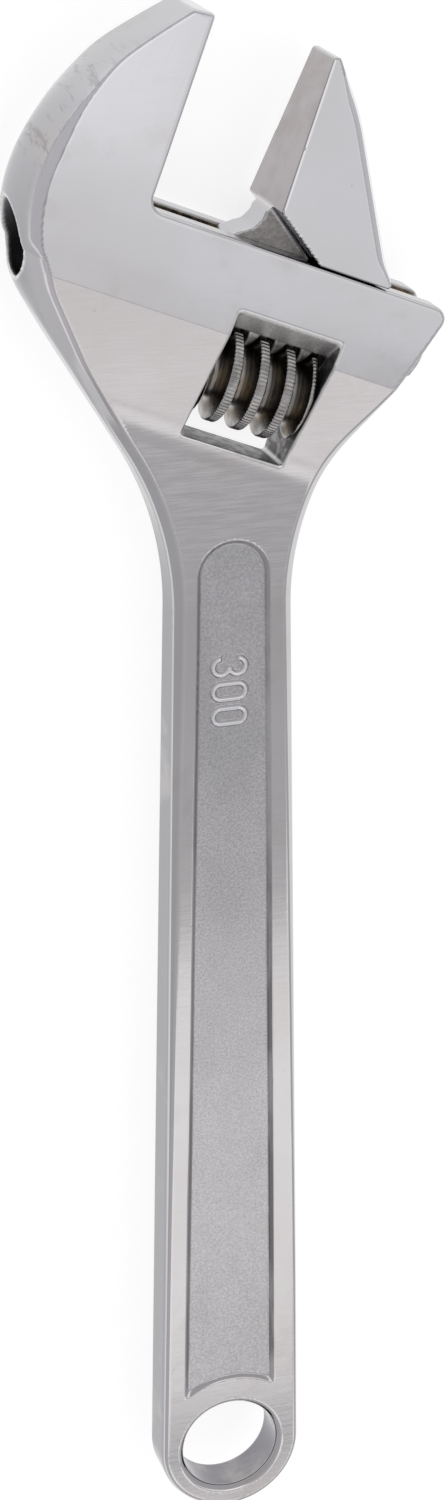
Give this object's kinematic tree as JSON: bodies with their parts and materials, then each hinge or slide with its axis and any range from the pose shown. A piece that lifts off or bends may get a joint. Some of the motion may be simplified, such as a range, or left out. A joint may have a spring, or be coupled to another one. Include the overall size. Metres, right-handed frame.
{
  "type": "adjustable wrench",
  "caption": "Chromed adjustable wrench: a fixed jaw and a sliding jaw set by a thumb-turned worm, on a panelled handle with a hanging hole.",
  "frame": {"origin": "centre of the hanging hole at half the handle's thickness", "axes": "+Y along the handle towards the jaws, +Z the upper face, +X towards the movable jaw"},
  "size_m": [0.0787, 0.3047, 0.0208],
  "materials": {
    "chromed_steel": "polished chrome plate over forged steel",
    "chromed_jaw": "polished chrome plate with milled faces",
    "oiled_steel": "machined steel with oil residue",
    "pin_steel": "turned steel",
    "spring_steel": "spring wire"
  },
  "bodies": {
    "body": {"body": "chromed_steel", "knurl_pin": "pin_steel", "knurl_spring": "spring_steel"},
    "jaw": {"movable_jaw": "chromed_jaw"},
    "knurl": {"knurl": "oiled_steel"}
  },
  "joints": [
    {"name": "jaw_slide", "type": "slide", "parent": "body", "child": "jaw", "axis": [0.9259, -0.3778, 0], "range_m": [-0.0232, 0.0124]},
    {"name": "knurl_spin", "type": "hinge", "parent": "body", "child": "knurl", "pos_m": [0.00372, 0.2228, 0], "axis": [0.9259, -0.3778, 0], "range_deg": [-900, 1650]}
  ],
  "couplings": [
    {"joint": "knurl_spin", "follows": "jaw_slide", "rad_per_m": -1194.5}
  ]
}
